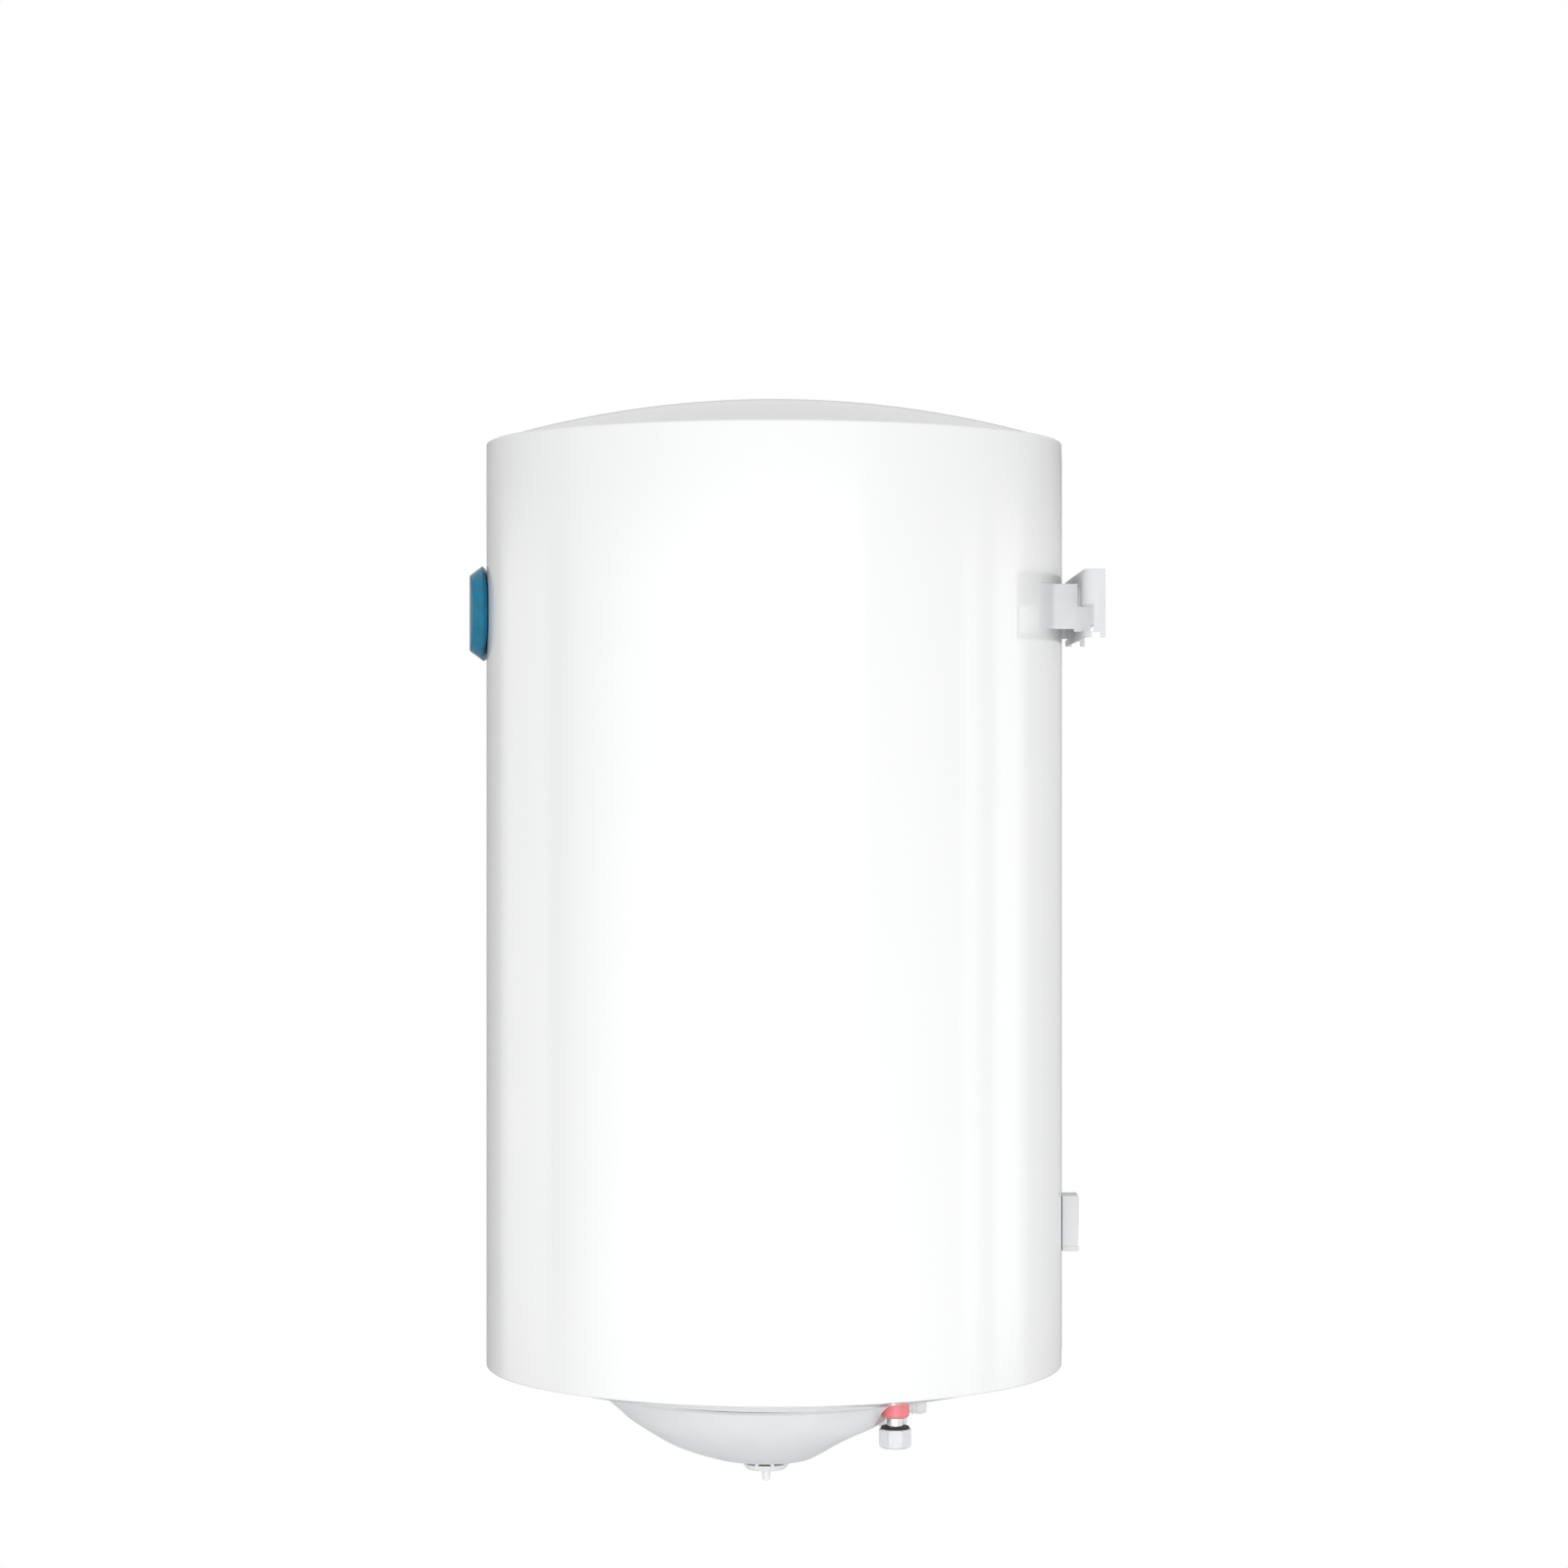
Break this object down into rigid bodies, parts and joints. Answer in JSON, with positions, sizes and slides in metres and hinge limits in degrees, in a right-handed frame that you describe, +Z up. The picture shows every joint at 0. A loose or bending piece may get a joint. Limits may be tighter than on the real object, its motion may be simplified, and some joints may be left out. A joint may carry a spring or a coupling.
{
  "type": "tank water heater",
  "caption": "Wall-hung electric tank water heater: white cylinder with dished ends, bottom cover with thermostat knob, water connections and a folded steel hanger.",
  "frame": {"origin": "middle of the hanger bracket's pad where it touches the wall", "axes": "+Y into the wall, -Y the front with the badge, +Z up, +X the side with the hot pipe, on the right of someone facing the heater"},
  "size_m": [0.433, 0.4714, 0.8128],
  "materials": {
    "white_enamel": "gloss stoved enamel",
    "white_plastic": "moulded, satin gloss",
    "grey_plastic": "moulded, satin",
    "teal_plastic": "moulded, gloss",
    "red_lens": "clear-dyed, polished",
    "red_sleeve": "translucent, satin",
    "blue_sleeve": "translucent, satin",
    "red_button": "moulded",
    "brown_insulation": "extruded",
    "green_insulation": "extruded",
    "blue_insulation": "extruded",
    "black_rubber": "moulded",
    "bakelite": "moulded",
    "foam": "foamed in place",
    "tank_enamel": "vitreous enamel",
    "steel": "zinc plated",
    "element_alloy": "drawn tube",
    "magnesium": "cast",
    "copper": "drawn copper tube",
    "brass": "turned",
    "chrome": "polished plating",
    "lamp_glass": "clear"
  },
  "bodies": {
    "heater": {"jacket": "white_enamel", "top_cap": "white_enamel", "bottom_cap": "white_enamel", "hanger_bracket": "white_enamel", "hanger_arm_left": "white_enamel", "hanger_arm_right": "white_enamel", "lower_spacer": "white_enamel", "bottom_cover": "white_plastic", "cable_gland": "white_plastic", "cover_nut": "grey_plastic", "terminal_block": "grey_plastic", "cold_diffuser": "grey_plastic", "badge_base": "teal_plastic", "badge_plate": "teal_plastic", "indicator_lens": "red_lens", "hot_sleeve": "red_sleeve", "cold_sleeve": "blue_sleeve", "live_wire": "brown_insulation", "earth_wire": "green_insulation", "neutral_wire": "blue_insulation", "flange_gasket": "black_rubber", "hot_seal": "black_rubber", "cold_seal": "black_rubber", "thermostat_body": "bakelite", "insulation_foam": "foam", "inner_tank": "tank_enamel", "flange_neck": "steel", "flange_plate": "steel", "flange_bolt_1": "steel", "flange_bolt_2": "steel", "flange_bolt_3": "steel", "flange_bolt_4": "steel", "flange_bolt_5": "steel", "anode_nut": "steel", "hot_riser": "steel", "heating_element": "element_alloy", "anode_rod": "magnesium", "thermowell": "copper", "thermostat_rod": "brass", "thermostat_bush": "brass", "hot_pipe": "chrome", "cold_pipe": "chrome", "indicator_lamp": "lamp_glass"},
    "knob": {"thermostat_spindle": "brass", "thermostat_knob": "white_plastic"},
    "reset": {"reset_button": "red_button"},
    "hot_union": {"hot_nut": "grey_plastic"},
    "cold_union": {"cold_nut": "grey_plastic"}
  },
  "joints": [
    {"name": "knob_turn", "type": "hinge", "parent": "heater", "child": "knob", "pos_m": [0, -0.248, -0.65], "axis": [0, 0, 1], "range_deg": [0, 270]},
    {"name": "reset_press", "type": "slide", "parent": "heater", "child": "reset", "axis": [0, 0, 1], "range_m": [0, 0.002], "stiffness_N_per_m": 300},
    {"name": "hot_nut_turn", "type": "hinge", "parent": "heater", "child": "hot_union", "pos_m": [0.05, -0.152, -0.619], "axis": [0, 0, 1], "continuous": true},
    {"name": "cold_nut_turn", "type": "hinge", "parent": "heater", "child": "cold_union", "pos_m": [-0.05, -0.152, -0.619], "axis": [0, 0, 1], "continuous": true}
  ]
}
